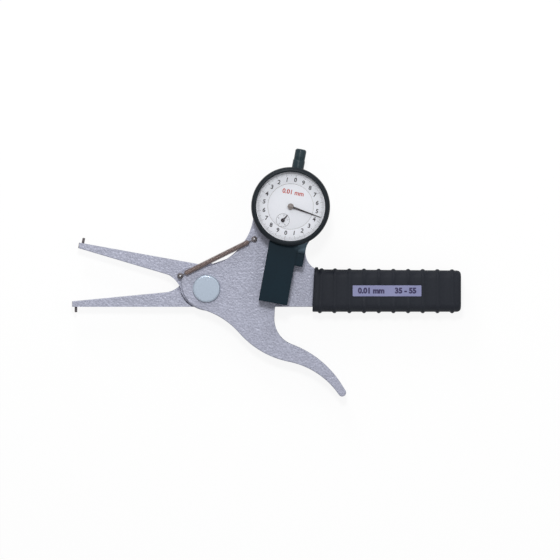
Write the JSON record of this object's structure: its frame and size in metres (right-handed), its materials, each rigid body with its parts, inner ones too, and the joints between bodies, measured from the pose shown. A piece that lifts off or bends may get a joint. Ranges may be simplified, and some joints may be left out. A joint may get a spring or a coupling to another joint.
{
  "type": "inside dial caliper",
  "caption": "Inside dial caliper: slim arms with outward contact pins, a sprung finger lever on a pivot, a ribbed grip, and a round dial gauge driven by a guarded spindle.",
  "frame": {"origin": "pivot axis on the resting plane, at the back face of the pivot pin's head", "axes": "+X from the pivot towards the grip, +Y towards the dial gauge, +Z from the back towards the dial's face"},
  "size_m": [0.292, 0.1858, 0.036],
  "materials": {
    "hammer_paint": "silver-grey hammertone paint on a light-alloy casting",
    "hard_steel": "ground hardened steel",
    "cap_alloy": "satin turned light alloy",
    "grip_rubber": "matt moulded rubber",
    "plate_foil": "pale anodised plate",
    "black_case": "satin black",
    "dial_white": "matt white printed dial",
    "brass": "turned brass",
    "spring_wire": "oil-brown spring wire",
    "pointer_black": "black lacquer",
    "crystal": "clear acrylic window"
  },
  "bodies": {
    "frame": {"frame_casting": "hammer_paint", "fixed_jaw": "hammer_paint", "fixed_contact": "hard_steel", "fixed_jaw_screws": "hard_steel", "rear_cover": "hammer_paint", "rear_cover_screws": "hard_steel", "grip": "grip_rubber", "name_plate": "plate_foil", "pivot_pin": "hard_steel", "pivot_washer": "hard_steel", "pivot_cap": "cap_alloy", "frame_spring_post": "hard_steel", "dial_case": "black_case", "upper_stem": "black_case", "spindle_cap": "black_case", "lower_stem": "black_case", "spindle_guard": "black_case", "guard_screws": "hard_steel", "inner_dial": "dial_white", "movement_lower_plate": "brass", "movement_upper_plate": "brass", "movement_pillars": "brass", "spindle_spring": "spring_wire"},
    "lever": {"lever_casting": "hammer_paint", "moving_jaw": "hammer_paint", "moving_contact": "hard_steel", "moving_jaw_screws": "hard_steel", "jaw_spring_post": "hard_steel", "anvil_pin": "hard_steel", "lever_bush": "brass"},
    "spindle_body": {"spindle": "hard_steel", "contact_tip": "hard_steel"},
    "pointer_body": {"main_pointer": "pointer_black", "centre_pinion": "brass"},
    "counter_body": {"counter_pointer": "pointer_black", "counter_wheel": "brass"},
    "bezel_body": {"bezel": "black_case", "scale_ring": "dial_white", "crystal": "crystal"},
    "spring_body": {"return_spring": "spring_wire"},
    "spring_end": {"spring_hook": "spring_wire"}
  },
  "joints": [
    {"name": "lever_pivot", "type": "hinge", "parent": "frame", "child": "lever", "pos_m": [0, 0, 0.013], "axis": [0, 0, 1], "range_deg": [0, 12], "stiffness_Nm_per_rad": 0.2, "springref_deg": -28.65},
    {"name": "spindle_slide", "type": "slide", "parent": "frame", "child": "spindle_body", "axis": [0.1822, 0.9833, 0], "range_m": [0, 0.0108]},
    {"name": "pointer_spin", "type": "hinge", "parent": "frame", "child": "pointer_body", "pos_m": [0.063, 0.06114, 0.032], "axis": [0, 0, 1], "continuous": true},
    {"name": "counter_spin", "type": "hinge", "parent": "frame", "child": "counter_body", "pos_m": [0.05719, 0.05093, 0.0314], "axis": [0, 0, 1], "continuous": true},
    {"name": "bezel_turn", "type": "hinge", "parent": "frame", "child": "bezel_body", "pos_m": [0.063, 0.06114, 0.03], "axis": [0, 0, 1], "continuous": true},
    {"name": "spring_swing", "type": "hinge", "parent": "frame", "child": "spring_body", "pos_m": [0.03584, 0.03712, 0.0184], "axis": [0, 0, 1], "range_deg": [0, 2.9]},
    {"name": "spring_stretch", "type": "slide", "parent": "spring_body", "child": "spring_end", "axis": [-0.8951, -0.4459, 0], "range_m": [0, 0.0035]}
  ],
  "couplings": [
    {"joint": "spindle_slide", "follows": "lever_pivot", "m_per_rad": 0.0508},
    {"joint": "pointer_spin", "follows": "lever_pivot", "ratio": -319.19},
    {"joint": "counter_spin", "follows": "lever_pivot", "ratio": 31.919},
    {"joint": "spring_swing", "follows": "lever_pivot", "ratio": 0.23122},
    {"joint": "spring_stretch", "follows": "lever_pivot", "m_per_rad": 0.016083}
  ]
}
